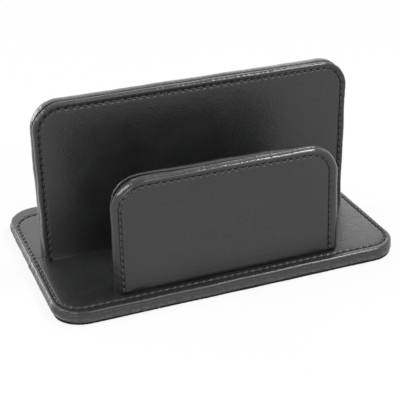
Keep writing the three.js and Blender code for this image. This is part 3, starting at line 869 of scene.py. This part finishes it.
# Carried-over nodes keep their CAD mesh and get the finish of their slot

for part in frame["record"]["subparts"]:
    cadObject = frame["nodes"][part["node"]]
    if cadObject.hide_render:
        continue
    cadObject.data.materials.clear()
    cadObject.data.materials.append(materials[part["material_slot"]])
print("carried-over nodes finished")


# Floor, light and camera

studio = {
    "floorSize": 6, "floorLines": 25, "floorColour": "#fafafa",      # m, along the x axis and the y axis
    "floorShine": 0.88,    # how white the camera and mirrors see the floor, beside its lit colour
    "worldDiffuse": 0.25,  # of the white that they see, as light on the object
    "lamps": {
        "overhead": {"place": (0.5, -0.02, 0.97), "aim": (0, 0, 0.04), "size": (0.4, 0.2), "power": 5},
        "front left": {"place": (-0.72, -0.58, 0.45), "aim": (0, 0, 0.05), "size": (0.35, 0.5), "power": 1.8},
        "upper left": {"place": (-0.74, 0.22, 0.64), "aim": (0, 0, 0.05), "size": (0.22, 0.5), "power": 2.2},
        "rear": {"place": (0.12, 1.1, 0.56), "aim": (0, 0, 0.04), "size": (1.6, 0.6), "power": 2.1},
        "rear right": {"place": (0.62, 1.05, 0.42), "aim": (0, 0, 0.08), "size": (0.35, 0.14), "power": 0.4},
        "rear left": {"place": (-0.57, 0.93, 0.22), "aim": (0, 0, 0.05), "size": (0.32, 0.42), "power": 3.4},
        "front": {"place": (0.3, -0.75, 0.55), "aim": (0.1, -0.45, 0), "size": (0.6, 0.5), "power": 3.2},
    },
}


def seenWhite(tree):
    # 1 for camera, mirror and glass rays, 0 for the light that falls on the object
    rays = addNode(tree, "ShaderNodeLightPath")
    first = addNode(tree, "ShaderNodeMath",
                    {0: rays.outputs["Is Camera Ray"], 1: rays.outputs["Is Glossy Ray"]}, operation="MAXIMUM")
    both = addNode(tree, "ShaderNodeMath", {0: first.outputs[0], 1: rays.outputs["Is Transmission Ray"]},
                   operation="MAXIMUM")
    return both.outputs[0]


def makeFloor():
    # A square of even cells at the height of the table
    count = studio["floorLines"]
    side = np.linspace(-1, 1, count) * studio["floorSize"] / 2
    x, y = np.meshgrid(side, side)
    mesh = bpy.data.meshes.new("floor")
    points = np.stack([x, y, 0 * x], -1).reshape(-1, 3)
    mesh.from_pydata(points.tolist(), [], gridFaces(count, count).tolist())
    floor = bpy.data.objects.new("floor", mesh)
    bpy.context.scene.collection.objects.link(floor)
    material, tree = newMaterial("white_paper_sweep")
    paper = addNode(tree, "ShaderNodeBsdfDiffuse", {"Color": fromHex(studio["floorColour"])})
    glow = addNode(tree, "ShaderNodeEmission", {"Color": (1, 1, 1, 1), "Strength": 1})
    share = addNode(tree, "ShaderNodeMath", {0: seenWhite(tree), 1: studio["floorShine"]},
                    operation="MULTIPLY")
    mix = addNode(tree, "ShaderNodeMixShader", {0: share.outputs[0], 1: paper.outputs[0], 2: glow.outputs[0]})
    addNode(tree, "ShaderNodeOutputMaterial", {"Surface": mix.outputs[0]})
    mesh.materials.append(material)


def makeWorld():
    world = bpy.data.worlds.new("white_surroundings")
    bpy.context.scene.world = world
    world.use_nodes = True
    tree = world.node_tree
    tree.nodes.clear()
    strength = remap(tree, seenWhite(tree), 0, 1, studio["worldDiffuse"], 1)
    back = addNode(tree, "ShaderNodeBackground", {"Color": (1, 1, 1, 1), "Strength": strength})
    addNode(tree, "ShaderNodeOutputWorld", {"Surface": back.outputs[0]})


def turnTowards(place, aim):
    # Rotation that points an object's -Z axis from place to aim
    return (Vector(aim) - Vector(place)).to_track_quat("-Z", "Y").to_euler()


def makeLamps():
    for name, lamp in studio["lamps"].items():
        light = bpy.data.lights.new(name, "AREA")
        light.shape, light.energy = "RECTANGLE", lamp["power"]
        light.size, light.size_y = lamp["size"]
        holder = bpy.data.objects.new(name, light)
        holder.location = lamp["place"]
        holder.rotation_euler = turnTowards(lamp["place"], lamp["aim"])
        bpy.context.scene.collection.objects.link(holder)


cameraLook = {
    "azimuth": -21.02, "elevation": 26.75, "roll": -1.02,   # degrees
    "distance": 565.4, "target": (1.89, 0, 22.91),          # mm
    "lens": 97.6, "sensor": 36,                             # mm
    "clip": (0.01, 20),                                     # m
}


def makeCamera():
    look = cameraLook
    turn, lift, roll = (math.radians(look[k]) for k in ("azimuth", "elevation", "roll"))
    back = Vector((math.sin(turn) * math.cos(lift), -math.cos(turn) * math.cos(lift), math.sin(lift)))
    right = (-back).cross(Vector((0, 0, 1))).normalized()
    up = back.cross(right)
    tilted = right * math.cos(roll) + up * math.sin(roll)
    top = back.cross(tilted)
    place = Vector(look["target"]) * mm + back * look["distance"] * mm
    camera = bpy.data.cameras.new("camera")
    camera.lens, camera.sensor_width, camera.sensor_fit = look["lens"], look["sensor"], "HORIZONTAL"
    camera.clip_start, camera.clip_end = look["clip"]
    holder = bpy.data.objects.new("camera", camera)
    holder.matrix_world = Matrix((
        (tilted.x, top.x, back.x, place.x), (tilted.y, top.y, back.y, place.y),
        (tilted.z, top.z, back.z, place.z), (0, 0, 0, 1)))
    bpy.context.scene.collection.objects.link(holder)
    bpy.context.scene.camera = holder


makeFloor()
makeWorld()
makeLamps()
makeCamera()
bpy.context.scene.view_settings.view_transform = "Standard"
print("studio ready")
